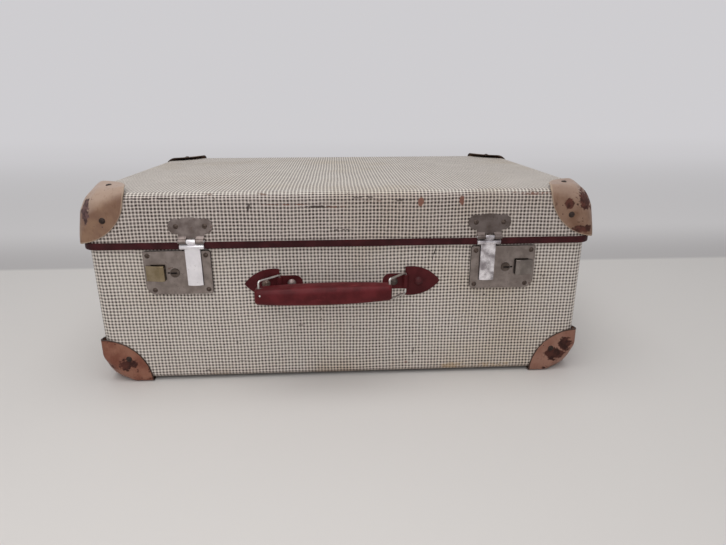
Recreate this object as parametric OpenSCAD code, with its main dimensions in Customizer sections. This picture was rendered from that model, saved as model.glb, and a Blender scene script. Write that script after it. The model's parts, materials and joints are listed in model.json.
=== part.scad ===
// Vintage suitcase: two fibreboard trays, corner caps, slide locks with hasps and a ring handle.
// Millimetres, +Z up, front towards -Y, standing on z = 0 with the origin under its middle.

/* [Case] */
// Width of the lid
case_w = 500; // [440:1:600]
// Depth of the lid
case_d = 335; // [280:1:420]
// Height of the base from its underside to the parting line
base_h = 142; // [125:1:180]
// Height of the lid from the parting line to its top
lid_h = 54; // [50:1:80]
// Radius of the lid's upright corners
corner_r = 16; // [14:0.5:20]
// Radius of the rolled edges round the top and the underside
edge_r = 8; // [6:0.5:9]
// Thickness of the fibreboard
wall_t = 2.6; // [2:0.1:3.5]
// Gap between the base and the lid that closes over it
lid_gap = 0.9; // [0.7:0.1:1.4]
// Height of the base wall that stands up inside the lid
lip_h = 14; // [10:1:18]

/* [Inside] */
// Thickness of the lining
lining_t = 0.8; // [0.5:0.1:1.5]
// Bare wall left above the base lining
lining_drop = 4; // [2:0.5:8]
// Width of the stop frame inside the lid
frame_w = 6; // [5:0.5:10]
// Height of the stop frame
frame_h = 8; // [6:0.5:12]
// Corner radius of the stop frame
frame_r = 20; // [18:0.5:30]

/* [Binding] */
// Height of the binding on the lid's lower edge
binding_h = 7; // [5:0.5:9]
// Thickness of the binding
binding_t = 1; // [0.8:0.1:1.5]

/* [Corner caps] */
// Sheet thickness of the caps
cap_t = 1.4; // [1:0.1:2]
// How much sharper a cap is bent than the case inside it
cap_ease = 1.5; // [0.5:0.1:2.5]
// Distance along an edge at which the rounding of a tray's vertex runs out
fold_len = 51; // [50:0.5:54]
// Distance from the case's faces of the middle of the ball that eases a tray's vertex
ease_in = 100; // [90:1:110]
// Distance of each cap rivet from the two edges beside it
cap_rivet_inset = 25; // [20:0.5:30]

/* [Rivets] */
// Head radius of the cap and hinge rivets
small_head_r = 3; // [2.5:0.1:4]
// Head height of the cap and hinge rivets
small_head_h = 1.3; // [0.8:0.1:2]
// Shank radius of the cap and hinge rivets
small_shank_r = 1.4; // [1:0.1:1.8]
// Head radius of the lock and hasp rivets
lock_head_r = 2.5; // [2.2:0.1:3.5]
// Head height of the lock and hasp rivets
lock_head_h = 1; // [0.6:0.1:1.6]
// Head radius of the handle rivets
handle_head_r = 4.3; // [3.5:0.1:5]
// Head height of the handle rivets
handle_head_h = 2.4; // [1.5:0.1:3]
// Shank radius of the handle rivets
handle_shank_r = 2; // [1.5:0.1:2.5]

/* [Handle] */
// Distance between the two bridges
handle_pitch = 126; // [110:1:150]
// Distance of the handle plates' middle below the parting line
handle_drop = 37.55; // [30:0.05:55]
// Thickness of the handle plates
handle_plate_t = 1.6; // [1.2:0.1:2.5]
// Height of the leaf-shaped end
leaf_h = 30.6; // [26:0.2:36]
// Distance from the bridge to the leaf's point
leaf_len = 35; // [30:0.5:42]
// Distance from the bridge to the leaf's widest place
leaf_x = 5; // [2:0.5:8]
// Radius of the rounded inner end
lobe_r = 8; // [7:0.5:10]
// Distance from the bridge to the tip of the inner end
lobe_len = 23; // [20:0.5:26]
// Distance from the bridge to the rivet in the inner end
lobe_rivet_x = 12; // [10:0.5:14]
// Distance from the bridge to the rivet in the leaf
leaf_rivet_x = 13.5; // [11:0.5:16]
// Height of the bridge that a ring turns in
bridge_h = 14; // [10:0.5:15]
// Sheet thickness of the bridge
bridge_t = 1.3; // [1:0.1:2]
// Width of the bridge at its foot
bridge_w = 7; // [6:0.5:9]
// Wire radius of the rings
ring_wire_r = 1.1; // [0.9:0.05:1.3]
// Height of a ring, between its wire middles
ring_h = 21.3; // [20:0.1:25]
// Length of a ring, from the middle of one upright to the other
ring_len = 26; // [22:0.5:32]
// Bend radius of the wire at the ring's corners
ring_bend_r = 2; // [1.6:0.1:2.4]
// Lean of the rings to the left at rest, in degrees from straight out
ring_lean = 44; // [0:1:55]
// Thickness of the grip at its middle
grip_mid = 21; // [18:0.5:24]
// Thickness of the grip at its ends
grip_end = 15.5; // [13:0.5:16]
// Length of the grip past each ring
grip_over = 3.6; // [3.2:0.1:6]
// Thickness of the steel core
core_t = 1.5; // [1:0.1:2.5]
// Height of the steel core
core_h = 8; // [6:0.5:10]
// Wall of the core's eyes round the rings
eye_wall = 1; // [0.8:0.1:1.4]

/* [Locks] */
// Distance of each lock plate's middle from the end of the case
lock_in = 89.2; // [80:0.2:110]
// Distance of the lock plate's middle below the parting line
lock_drop = 24.05; // [23.5:0.05:33]
// Width of a lock plate
lock_w = 64.7; // [60:0.1:72]
// Height of a lock plate
lock_h = 44; // [42:0.5:46]
// Depth of the pressed pan that the lock plate forms
lock_depth = 3.2; // [3:0.1:3.4]
// Sheet thickness of the lock plate
lock_t = 1; // [0.8:0.1:1.2]
// Corner radius of the lock plate
lock_corner_r = 2.5; // [1.5:0.1:4]
// Radius of the lock plate's lower outer corner
lock_foot_r = 9; // [7:0.5:11]
// Distance of the lock rivets from the plate's edges
lock_rivet_inset = 4.4; // [4:0.1:5]
// How much further in the rivet at the lower outer corner sits
lock_rivet_foot = 3.6; // [2:0.1:4]
// Thickness of the back plate inside the wall
lock_back_t = 1.2; // [0.8:0.1:2]
// Distance of the key plug from the plate's middle, outwards
plug_dx = 3.2; // [2:0.1:4]
// Radius of the key plug
plug_r = 4.5; // [4:0.1:5]
// How far the key plug stands out of the lock plate
plug_proud = 0.8; // [0.5:0.1:1.5]
// Radius of the key plug's tail
plug_tail_r = 2; // [1.5:0.1:2.5]
// Height of the key slot
key_slot_h = 1.5; // [1:0.1:2]
// Length of the key slot past the plug
key_slot_over = 2.6; // [2:0.1:3]
// Reach of the cam's nose from the plug's middle
cam_reach = 6.1; // [5.8:0.1:6.2]
// Wall of the cam's collar
cam_wall = 0.8; // [0.6:0.1:0.9]
// Distance of the button's inner edge from the plate's middle
button_dx = 12.7; // [12.4:0.1:13]
// Width of the button
button_w = 18; // [16:0.5:19]
// Height of the button
button_h = 15.5; // [14:0.5:17]
// Height of the button's raised inner edge
button_rise = 4; // [3:0.1:5]
// Height of the button's low outer edge
button_low = 1; // [0.8:0.1:2]
// Travel of the button
button_travel = 4.5; // [3:0.1:5]
// Thickness of the slide bolt
bolt_t = 1.2; // [1:0.1:1.3]
// Height of the slide bolt's bar
bolt_h = 5; // [4:0.1:5.2]
// Thickness of the bolt's leaf spring
spring_t = 0.4; // [0.3:0.05:0.6]

/* [Hasps] */
// Distance of the hasp from the lock plate's middle, inwards
hasp_dx = 16.3; // [15:0.1:17]
// Width of the hasp
hasp_w = 14.6; // [12:0.2:16]
// Distance of the hasp's lower end below the parting line
hasp_drop = 36.55; // [35.5:0.05:37.5]
// Height of the hasp's crown over its flat sides
hasp_crown = 1.4; // [0.8:0.1:2]
// Thickness of the hasp at its sides
hasp_side_t = 2.8; // [2:0.1:3.2]
// Width of the bar under the hasp's hinge
bar_w = 23; // [20:0.5:24]
// Radius of the half-round bar under the hinge
bar_r = 2.7; // [2.2:0.1:3]
// Height of the hinge axis above the parting line
hasp_axis_h = 8.2; // [8:0.1:9]
// Outer radius of the hinge knuckles
knuckle_r = 2.2; // [2:0.1:2.4]
// Radius of the hinge pin
hasp_pin_r = 1.1; // [0.8:0.05:1.3]
// Width of the hinge over all its knuckles
hinge_w = 24.5; // [22:0.5:26]
// Width of the middle knuckle
tongue_w = 8.3; // [7:0.1:10]
// Sheet thickness of the hasp plate
hasp_plate_t = 1.2; // [1:0.1:1.6]
// Width of the hasp plate
hasp_plate_w = 42; // [38:0.5:46]
// Height of the hasp plate's top above the parting line
hasp_plate_top = 31; // [29:0.5:34]
// Height of the arch at the plate's top
hasp_plate_arch = 8.5; // [6:0.5:10]
// Distance between the hasp plate's rivets
hasp_rivet_pitch = 27.2; // [24:0.2:29]
// Height of the hasp plate's rivets above the parting line
hasp_rivet_h = 22.5; // [21.5:0.5:23.5]

/* [Rear hinges] */
// Distance of the rear hinges from the ends of the case
rear_in = 100; // [80:1:150]
// Width of a rear hinge
rear_w = 44; // [36:1:60]
// Height of a rear hinge's leaves past the binding and the crank
rear_leaf_h = 16; // [14:0.5:22]
// Sheet thickness of the rear hinge leaves
rear_t = 1.2; // [1:0.1:1.6]
// Outer radius of the rear knuckles
rear_knuckle_r = 2.5; // [2.2:0.1:3]
// Radius of the rear hinge pin
rear_pin_r = 1.3; // [1:0.05:1.6]
// Width of the middle knuckle on the lid's leaf
rear_middle_w = 16; // [12:1:24]
// Distance of a rear hinge's rivets from its middle
rear_rivet_x = 15; // [12:0.5:16]
// Where the base leaf's crank meets its knuckles, in degrees below level
crank_angle = 60; // [55:1:65]

/* [Clearances] */
// Gap between glued, riveted or sewn pieces
seat = 0.15; // [0.1:0.01:0.2]
// Radial clearance of pins and rivets in their holes
pin_play = 0.05; // [0.02:0.01:0.09]
// Gap between pieces that move past each other
run = 0.4; // [0.35:0.05:0.5]

/* [Hidden] */
$fn = 64;
LEFT = -1;
RIGHT = 1;
FRONT = -1;
REAR = 1;
DEEP = 40;
base_z = cap_t + seat;
part_z = base_z + base_h;
top_z = part_z + lid_h;
lip_z = part_z + lip_h;
overhang = wall_t + lid_gap;
base_w = case_w - 2 * overhang;
base_d = case_d - 2 * overhang;
base_r = corner_r - overhang;
inner_w = base_w - 2 * wall_t;
inner_d = base_d - 2 * wall_t;
lid_inner_w = case_w - 2 * wall_t;
lid_inner_d = case_d - 2 * wall_t;
frame_z = lip_z + 2 * seat;
cap_reach = lid_h - binding_h - run;
cap_out = cap_t + seat;
cap_corner_r = base_r + cap_t - cap_ease;
cap_edge_r = edge_r + cap_t - cap_ease;
ease_r = sqrt((ease_in - fold_len) * (ease_in - fold_len) + 2 * ease_in * ease_in);
// Heights of the front hardware over the base's front face
lid_face = overhang;
binding_face = lid_face + binding_t;
handle_z = part_z - handle_drop;
lock_x = case_w / 2 - lock_in;
lock_z = part_z - lock_drop;
hasp_x = lock_x - hasp_dx;
hasp_foot_z = part_z - hasp_drop;
rear_x = case_w / 2 - rear_in;
plug_x = lock_x + plug_dx;
button_x = lock_x + button_dx;
lock_foot = lock_z - lock_h / 2;
button_z0 = lock_z - button_h / 2;
lock_inner_w = lock_w - 2 * lock_t;
lock_inner_h = lock_h - 2 * lock_t;
lock_rivet_x = lock_w / 2 - lock_rivet_inset;
lock_rivet_z = lock_h / 2 - lock_rivet_inset;
hasp_back = lock_depth - hasp_crown / 2;
hook_z = hasp_foot_z + run;
bolt_z = hook_z + run;
bolt_y = (lock_depth - lock_t - bolt_t) / 2;
bolt_tip_x = hasp_x + hasp_w / 2 + 2 * run;
stem_in = 2 * run;
stem_w = button_w / 2 - 2 * stem_in;
stem_h = button_h - 4 * stem_in;
spring_r = (lock_w / 2 - lock_t - button_dx - button_w / 2 - run) / 2;
spring_x = button_x + button_w / 2 + run + spring_r;
window_x = button_x - stem_in;
window_w = stem_w + button_travel + 3 * stem_in;
window_h = button_h;
hasp_axis_z = part_z + hasp_axis_h;
hasp_axis_y = binding_face + run + knuckle_r;
bar_z = part_z + bar_r;
bar_y = binding_face + run;
notch_w = hasp_w + 2 * run;
notch_z = hasp_foot_z - 2 * run;
side_knuckle_w = (hinge_w - tongue_w) / 2 - run;
rear_axis_y = case_d / 2 + binding_t + run + rear_knuckle_r;
rear_side_w = (rear_w - rear_middle_w) / 2 - run;
rear_lid_z = part_z + binding_h + run;
rear_base_z = part_z - rear_knuckle_r - overhang - binding_t;
bridge_y = handle_plate_t + ring_wire_r + 2 * seat;
bridge_out_r = ring_wire_r + pin_play + bridge_t;
// The rings hang as low as the bends of their wire let them
ring_drop = ring_h / 2 - ring_bend_r - bridge_h / 2 - seat;
ring_z = handle_z - ring_drop;
bar_rest_y = base_d / 2 + bridge_y + ring_len * cos(ring_lean);
grip_len = handle_pitch + 2 * grip_over;
grip_shift = ring_len * sin(ring_lean);
eye_r = ring_wire_r + pin_play + eye_wall;
// The case stands back by this much, which puts the origin under the middle of everything
front_reach = bar_rest_y + grip_mid / 2;
rear_reach = rear_axis_y + rear_knuckle_r;
shift_y = (front_reach - rear_reach) / 2;

// Colours
check_grey = [0.69, 0.66, 0.62];
lining_cream = [0.72, 0.66, 0.55];
cap_cream = [0.76, 0.70, 0.58];
maroon = [0.33, 0.13, 0.15];
dark_maroon = [0.22, 0.11, 0.13];
steel = [0.46, 0.43, 0.40];
bright_steel = [0.80, 0.80, 0.80];
rust = [0.33, 0.25, 0.20];
board = [0.48, 0.40, 0.30];

// Placing

// Moves the case back so that the origin is under its middle
module placed() {
    translate([0, shift_y, 0])
        children();
}

// Mirrors a piece drawn for the right side when side is LEFT
module on_side(side) {
    mirror([side < 0 ? 1 : 0, 0, 0])
        children();
}

// Front face of the base: x across, y up, z outwards from the face
module on_front(side = RIGHT) {
    placed()
        on_side(side)
            translate([0, -base_d / 2, 0])
                rotate([90, 0, 0])
                    children();
}

// Extrudes a section drawn as (x, outwards) upwards from height z0, in the on_front frame
module upright(z0, h) {
    translate([0, z0 + h, 0])
        rotate([90, 0, 0])
            linear_extrude(h)
                children();
}

// Extrudes a section drawn as (up, outwards) across, centred on x, in the on_front frame
module across(x, w) {
    translate([x - w / 2, 0, 0])
        rotate([90, 0, 90])
            linear_extrude(w)
                children();
}

// Corner frame of the base or lid: the case fills +x, +y and +z from its own corner
module at_corner(w, d, z, up, sx, sy) {
    placed()
        translate([sx * w / 2, sy * d / 2, z])
            mirror([sx > 0 ? 1 : 0, 0, 0])
                mirror([0, sy > 0 ? 1 : 0, 0])
                    mirror([0, 0, up ? 0 : 1])
                        children();
}

// General shapes

module rounded_rect(w, h, r) {
    square([w - 2 * r, h], center = true);
    square([w, h - 2 * r], center = true);
    for (sx = [-1, 1], sy = [-1, 1])
        translate([sx * (w / 2 - r), sy * (h / 2 - r)])
            circle(r);
}

// Sweeps a section round a rounded rectangle, with x measured outwards from the corner centres
module sweep_round(w, d, r) {
    x = w / 2 - r;
    y = d / 2 - r;
    for (s = [0, 1])
        mirror([s, 0, 0])
            translate([x, y, 0])
                rotate([90, 0, 0])
                    linear_extrude(2 * y)
                        children();
    for (s = [0, 1])
        mirror([0, s, 0])
            translate([-x, y, 0])
                rotate([90, 0, 90])
                    linear_extrude(2 * x)
                        children();
    for (sx = [0, 1], sy = [0, 1])
        mirror([sx, 0, 0])
            mirror([0, sy, 0])
                translate([x, y, 0])
                    rotate_extrude(angle = 90)
                        children();
}

// Half of an upright block's section, r wide, with its lower outer edge rolled to radius e
module rolled_section(r, h, e) {
    square([r - e, h]);
    translate([0, e])
        square([r, h - e]);
    translate([r - e, e])
        intersection() {
            circle(e);
            translate([0, -e])
                square(e);
        }
}

// Solid block with upright corners of radius r and a lower edge rolled to radius e
module rolled_block(w, d, h, r, e) {
    sweep_round(w, d, r)
        rolled_section(r, h, e);
    translate([r - w / 2, r - d / 2, 0])
        cube([w - 2 * r, d - 2 * r, h]);
}

// What is taken off a tray's vertex under its cap, for faces set in from the case's
module tray_vertex_cut(in) {
    middle = ease_in - in;
    difference() {
        translate([-seat, -seat, -seat])
            cube(middle + seat);
        translate([middle, middle, middle])
            sphere(ease_r - in);
    }
}

// Rolled block with its lower vertices rounded off, its faces set in from the case's
module eased_block(w, d, h, r, e, in) {
    difference() {
        rolled_block(w, d, h, r, e);
        for (sx = [0, 1], sy = [0, 1])
            mirror([sx, 0, 0])
                mirror([0, sy, 0])
                    translate([-w / 2, -d / 2, 0])
                        tray_vertex_cut(in);
    }
}

// Open tray of a given wall, its outer faces set in from the case's
module tray(w, d, h, r, e, wall, in = 0) {
    difference() {
        eased_block(w, d, h, r, e, in);
        translate([0, 0, wall])
            eased_block(w - 2 * wall, d - 2 * wall, h, r - wall, e - wall, in + wall);
    }
}

// Low dome on z = 0
module dome(r, h) {
    ball = (r * r + h * h) / (2 * h);
    intersection() {
        translate([0, 0, h - ball])
            sphere(ball);
        cylinder(r = 2 * r, h = h);
    }
}

// Rivet along z, with its head's underside on z = 0 and its shank going down
module rivet(head_r, head_h, shank_r, grip) {
    dome(head_r, head_h);
    translate([0, 0, -grip])
        cylinder(r = shank_r, h = grip);
}

// Rivet hole through everything under a head
module rivet_hole(shank_r, depth) {
    translate([0, 0, -depth])
        cylinder(r = shank_r + pin_play, h = 2 * depth);
}

// Trays and inside

module base_shell() {
    color(check_grey)
        difference() {
            placed()
                translate([0, 0, base_z])
                    tray(base_w, base_d, base_h + lip_h, base_r, edge_r, wall_t);
            base_cap_places()
                rivet_hole(small_shank_r, wall_t * 2);
            handle_rivet_places()
                rivet_hole(handle_shank_r, wall_t * 2);
            for (side = [LEFT, RIGHT]) {
                lock_rivet_places(side)
                    rivet_hole(small_shank_r, wall_t * 2);
                plug_place(side)
                    rivet_hole(plug_r + run, wall_t * 2);
                hinge_base_rivet_places(side)
                    rivet_hole(small_shank_r, wall_t * 2);
            }
        }
}

module base_lining() {
    color(lining_cream)
        difference() {
            placed()
                translate([0, 0, base_z + wall_t + seat])
                    tray(inner_w - 2 * seat, inner_d - 2 * seat, base_h + lip_h - wall_t - lining_drop,
                        base_r - wall_t - seat, edge_r - wall_t - seat, lining_t, wall_t + seat);
            for (side = [LEFT, RIGHT])
                on_front(side)
                    translate([lock_x, lock_z, -DEEP / 2])
                        linear_extrude(DEEP, center = true)
                            rounded_rect(lock_w + 2 * run, lock_h + 2 * run, lock_corner_r + run);
        }
}

module lid_shell() {
    color(check_grey)
        difference() {
            placed()
                translate([0, 0, top_z])
                    mirror([0, 0, 1])
                        tray(case_w, case_d, lid_h - binding_t - seat, corner_r, edge_r, wall_t);
            lid_cap_places()
                rivet_hole(small_shank_r, wall_t * 2);
            for (side = [LEFT, RIGHT]) {
                hasp_rivet_places(side)
                    rivet_hole(small_shank_r, wall_t * 2);
                hinge_lid_rivet_places(side)
                    rivet_hole(small_shank_r, wall_t * 2);
            }
        }
}

module lid_lining() {
    color(lining_cream)
        placed()
            translate([0, 0, top_z - wall_t - seat])
                mirror([0, 0, 1])
                    tray(lid_inner_w - 2 * seat, lid_inner_d - 2 * seat,
                        top_z - wall_t - 2 * seat - frame_z - frame_h,
                        corner_r - wall_t - seat, edge_r - wall_t - seat, lining_t, wall_t + seat);
}

module lid_frame() {
    color(board)
        placed()
            translate([0, 0, frame_z])
                sweep_round(lid_inner_w - 2 * seat, lid_inner_d - 2 * seat, frame_r)
                    translate([frame_r - frame_w, 0])
                        square([frame_w, frame_h]);
}

// Folded round the lid's lower edge: a band outside with a rolled foot under the wall
module lid_binding() {
    color(dark_maroon)
        placed()
            translate([0, 0, part_z])
                sweep_round(case_w, case_d, corner_r) {
                    translate([corner_r - wall_t, 0])
                        square([wall_t, binding_t]);
                    translate([corner_r + seat, binding_t])
                        square([binding_t - seat, binding_h - binding_t]);
                    translate([corner_r, binding_t])
                        intersection() {
                            circle(binding_t);
                            translate([0, -binding_t])
                                square(binding_t);
                        }
                }
}

// Corner caps

// Corner of a rolled block whose three faces lie out from the case's faces
module cap_block(out, r, e) {
    far = 2 * cap_reach;
    translate([r - out, r - out, -out]) {
        rotate([0, 0, 180])
            rotate_extrude(angle = 90)
                rolled_section(r, far, e);
        mirror([0, 1, 0])
            rotate([90, 0, 90])
                linear_extrude(far)
                    rolled_section(r, far, e);
        mirror([1, 0, 0])
            mirror([0, 1, 0])
                rotate([90, 0, 0])
                    linear_extrude(far)
                        rolled_section(r, far, e);
        cube(far);
    }
}

// The three rivet places of a cap: on the faces square to y, x and z
module cap_rivet_places(faces = [0, 1, 2]) {
    turns = [[90, 0, 0], [0, -90, 0], [180, 0, 0]];
    spots = [[1, 0, 1], [0, 1, 1], [1, 1, 0]];
    for (i = faces)
        translate(spots[i] * cap_rivet_inset)
            rotate(turns[i])
                translate([0, 0, cap_out])
                    children();
}

module corner_cap() {
    difference() {
        intersection() {
            cap_block(cap_out, cap_corner_r, cap_edge_r);
            sphere(cap_reach);
        }
        cap_block(seat, cap_corner_r - cap_t, cap_edge_r - cap_t);
        cap_rivet_places()
            rivet_hole(small_shank_r, cap_out * 2);
    }
}

module base_corner(sx, sy) {
    at_corner(base_w, base_d, base_z, true, sx, sy)
        children();
}

module lid_corner(sx, sy) {
    at_corner(case_w, case_d, top_z, false, sx, sy)
        children();
}

module base_cap_places(faces = [0, 1, 2]) {
    for (sx = [LEFT, RIGHT], sy = [FRONT, REAR])
        base_corner(sx, sy)
            cap_rivet_places(faces)
                children();
}

module lid_cap_places() {
    for (sx = [LEFT, RIGHT], sy = [FRONT, REAR])
        lid_corner(sx, sy)
            cap_rivet_places()
                children();
}

module base_cap(sx, sy) {
    color(cap_cream)
        base_corner(sx, sy)
            corner_cap();
}

module lid_cap(sx, sy) {
    color(cap_cream)
        lid_corner(sx, sy)
            corner_cap();
}

// The rivets under the base are flush, because the case stands on its caps
module base_cap_rivets() {
    color(rust) {
        base_cap_places([0, 1])
            rivet(small_head_r, small_head_h, small_shank_r, cap_out + wall_t);
        base_cap_places([2])
            translate([0, 0, -cap_out - wall_t])
                cylinder(r = small_shank_r, h = cap_out + wall_t - seat);
    }
}

module lid_cap_rivets() {
    color(rust)
        lid_cap_places()
            rivet(small_head_r, small_head_h, small_shank_r, cap_out + wall_t);
}

// Handle

// Pointed leaf outside the bridge with a straight inner edge, and a round-ended strap inside it
module handle_plate_outline() {
    leaf_a = leaf_len - leaf_x;
    arc_r = (leaf_a * leaf_a + leaf_h * leaf_h / 4) / leaf_h;
    intersection() {
        translate([leaf_x, arc_r - leaf_h / 2])
            circle(arc_r);
        translate([leaf_x, leaf_h / 2 - arc_r])
            circle(arc_r);
        translate([0, -leaf_h])
            square([2 * leaf_len, 2 * leaf_h]);
    }
    translate([lobe_r - lobe_len, 0])
        circle(lobe_r);
    translate([lobe_r - lobe_len, -lobe_r])
        square([lobe_len - lobe_r + leaf_x, 2 * lobe_r]);
}

module handle_rivet_spots() {
    for (x = [-lobe_rivet_x, leaf_rivet_x])
        translate([handle_pitch / 2 + x, handle_z, handle_plate_t])
            children();
}

module handle_rivet_places() {
    for (side = [LEFT, RIGHT])
        on_front(side)
            handle_rivet_spots()
                children();
}

module handle_plate(side) {
    color(maroon)
        on_front(side)
            difference() {
                union() {
                    translate([handle_pitch / 2, handle_z, seat])
                        linear_extrude(handle_plate_t - seat)
                            handle_plate_outline();
                    upright(handle_z - bridge_h / 2, bridge_h)
                        translate([handle_pitch / 2, 0])
                            bridge_section();
                }
                upright(handle_z - bridge_h, 2 * bridge_h)
                    translate([handle_pitch / 2, bridge_y])
                        circle(ring_wire_r + pin_play);
                handle_rivet_spots()
                    rivet_hole(handle_shank_r, 2 * handle_plate_t);
            }
}

// Strap raised over the ring's wire, wider at its foot
module bridge_section() {
    translate([0, bridge_y])
        circle(bridge_out_r);
    polygon([
        [-bridge_w / 2, handle_plate_t],
        [bridge_w / 2, handle_plate_t],
        [bridge_out_r, bridge_y],
        [-bridge_out_r, bridge_y]
    ]);
}

module handle_rivets() {
    color(rust)
        handle_rivet_places()
            rivet(handle_head_r, handle_head_h, handle_shank_r, handle_plate_t + wall_t);
}

// Wire loop in the x = 0 plane, from the bridge's axis outwards to the grip's axis
module ring_loop() {
    up = ring_h / 2 - ring_bend_r;
    along = ring_len - 2 * ring_bend_r;
    for (y = [0, -ring_len])
        translate([0, y, -up])
            cylinder(r = ring_wire_r, h = 2 * up);
    for (z = [-ring_h / 2, ring_h / 2])
        translate([0, -ring_bend_r, z])
            rotate([90, 0, 0])
                cylinder(r = ring_wire_r, h = along);
    for (i = [0:3])
        translate([0, i < 2 ? -ring_bend_r : -ring_len + ring_bend_r, i % 2 == 0 ? up : -up])
            rotate([i < 2 ? (i == 0 ? 0 : -90) : (i == 2 ? 90 : 180), 0, 0])
                rotate([90, 0, 90])
                    rotate_extrude(angle = 90)
                        translate([ring_bend_r, 0])
                            circle(ring_wire_r);
}

module handle_ring(side) {
    color(steel)
        placed()
            translate([side * handle_pitch / 2, -base_d / 2 - bridge_y, ring_z])
                rotate([0, 0, -ring_lean])
                    ring_loop();
}

// Frame of the grip: x along it, with its middle on the rings' outer uprights
module at_grip() {
    placed()
        translate([-grip_shift, -bar_rest_y, ring_z])
            children();
}

// Barrel-shaped grip: an arc turned about the grip's length
module grip_barrel() {
    sag = (grip_mid - grip_end) / 2;
    arc_r = (grip_len * grip_len / 4 + sag * sag) / (2 * sag);
    rotate([0, 90, 0])
        rotate_extrude($fn = 2 * $fn)
            intersection() {
                translate([grip_mid / 2 - arc_r, 0])
                    circle(arc_r, $fn = 64 * $fn);
                translate([0, -grip_len / 2])
                    square([grip_mid, grip_len]);
            }
}

module core_outline(grow) {
    square([handle_pitch, core_t + 2 * grow], center = true);
    for (side = [LEFT, RIGHT])
        translate([side * handle_pitch / 2, 0])
            circle(eye_r + grow);
}

module grip_bores() {
    for (side = [LEFT, RIGHT])
        translate([side * handle_pitch / 2, 0, -grip_mid])
            cylinder(r = ring_wire_r + pin_play, h = 2 * grip_mid);
}

module handle_grip() {
    color(maroon)
        at_grip()
            difference() {
                grip_barrel();
                linear_extrude(core_h + 2 * seat, center = true)
                    core_outline(seat);
                grip_bores();
            }
}

module handle_core() {
    color(steel)
        at_grip()
            difference() {
                linear_extrude(core_h, center = true)
                    core_outline(0);
                grip_bores();
            }
}

// Locks, drawn for the right side in the on_front frame

// Rectangle with small corners, but a large one at its lower outer end
module lock_outline(w, h, r, foot) {
    hw = w / 2;
    hh = h / 2;
    for (c = [[-1, -1, r], [-1, 1, r], [1, 1, r], [1, -1, foot]])
        translate([c.x * (hw - c.z), c.y * (hh - c.z)])
            circle(c.z);
    translate([-hw, r - hh])
        square([w - foot, h - 2 * r]);
    translate([r - hw, -hh])
        square([w - r - foot, h]);
    translate([hw - foot, foot - hh])
        square([foot, h - foot - r]);
}

module lock_rivet_spots(out) {
    for (sx = [-1, 1], sz = [-1, 1]) {
        in = sx > sz ? lock_rivet_foot : 0;
        translate([lock_x + sx * lock_rivet_x - in, lock_z + sz * lock_rivet_z, out])
            children();
    }
}

module lock_rivet_places(side) {
    on_front(side)
        lock_rivet_spots(0)
            children();
}

module plug_place(side) {
    on_front(side)
        translate([plug_x, lock_z, 0])
            children();
}

// Pressed pan with the hasp's notch, the key plug's hole and the button's window
module lock_plate(side) {
    color(steel)
        on_front(side)
            difference() {
                translate([lock_x, lock_z, seat])
                    linear_extrude(lock_depth - seat)
                        lock_outline(lock_w, lock_h, lock_corner_r, lock_foot_r);
                translate([lock_x, lock_z, 0])
                    linear_extrude(lock_depth - lock_t)
                        lock_outline(lock_inner_w, lock_inner_h,
                            lock_corner_r - lock_t, lock_foot_r - lock_t);
                translate([hasp_x - notch_w / 2, notch_z, -lock_depth])
                    cube([notch_w, lock_h, 3 * lock_depth]);
                translate([plug_x, lock_z, 0])
                    cylinder(r = plug_r + pin_play, h = 2 * lock_depth);
                translate([plug_x, lock_z - key_slot_h / 2, 0])
                    cube([plug_r + key_slot_over, key_slot_h, 2 * lock_depth]);
                translate([window_x, button_z0 + 2 * run, 0])
                    cube([window_w, window_h, 2 * lock_depth]);
                lock_rivet_spots(lock_depth)
                    rivet_hole(small_shank_r, lock_depth);
            }
}

module lock_back(side) {
    color(steel)
        on_front(side)
            difference() {
                translate([lock_x, lock_z, -wall_t - seat - lock_back_t])
                    linear_extrude(lock_back_t)
                        rounded_rect(lock_w, lock_h, lock_corner_r);
                translate([plug_x, lock_z, -DEEP / 2])
                    cylinder(r = plug_tail_r + pin_play, h = DEEP);
                lock_rivet_spots(0)
                    rivet_hole(small_shank_r, DEEP / 2);
            }
}

module lock_rivets(side) {
    color(rust)
        on_front(side)
            lock_rivet_spots(lock_depth)
                rivet(lock_head_r, lock_head_h, small_shank_r,
                    lock_depth + wall_t + seat + lock_back_t);
}

// Wedge with a raised inner edge for the thumb, and a stem down to the bolt
module slide_button(side) {
    color(steel)
        on_front(side) {
            foot = lock_depth + run;
            upright(button_z0, button_h)
                polygon([
                    [button_x, foot],
                    [button_x + button_w, foot],
                    [button_x + button_w, foot + button_low],
                    [button_x + button_rise, foot + button_rise],
                    [button_x, foot + button_rise - button_low]
                ]);
            translate([button_x + stem_in, button_z0 + 3 * stem_in, bolt_y + bolt_t])
                cube([stem_w, stem_h, foot - bolt_y - bolt_t]);
        }
}

// Plate behind the button with a bar that runs under the key plug to the hasp's hook
module slide_bolt(side) {
    color(steel)
        on_front(side)
            translate([0, 0, bolt_y])
                linear_extrude(bolt_t) {
                    translate([button_x, bolt_z])
                        square([button_w / 2, lock_z + stem_h / 2 - bolt_z]);
                    translate([bolt_tip_x, bolt_z])
                        square([button_x + button_w / 2 - bolt_tip_x, bolt_h]);
                }
}

// Bowed leaf between the bolt and the pan's outer wall
module bolt_spring(side) {
    color(bright_steel)
        on_front(side)
            translate([spring_x, lock_z, bolt_y])
                linear_extrude(bolt_t)
                    difference() {
                        circle(spring_r);
                        circle(spring_r - spring_t);
                        translate([-spring_r, -2 * spring_r])
                            square(2 * spring_r);
                    }
}

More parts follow.
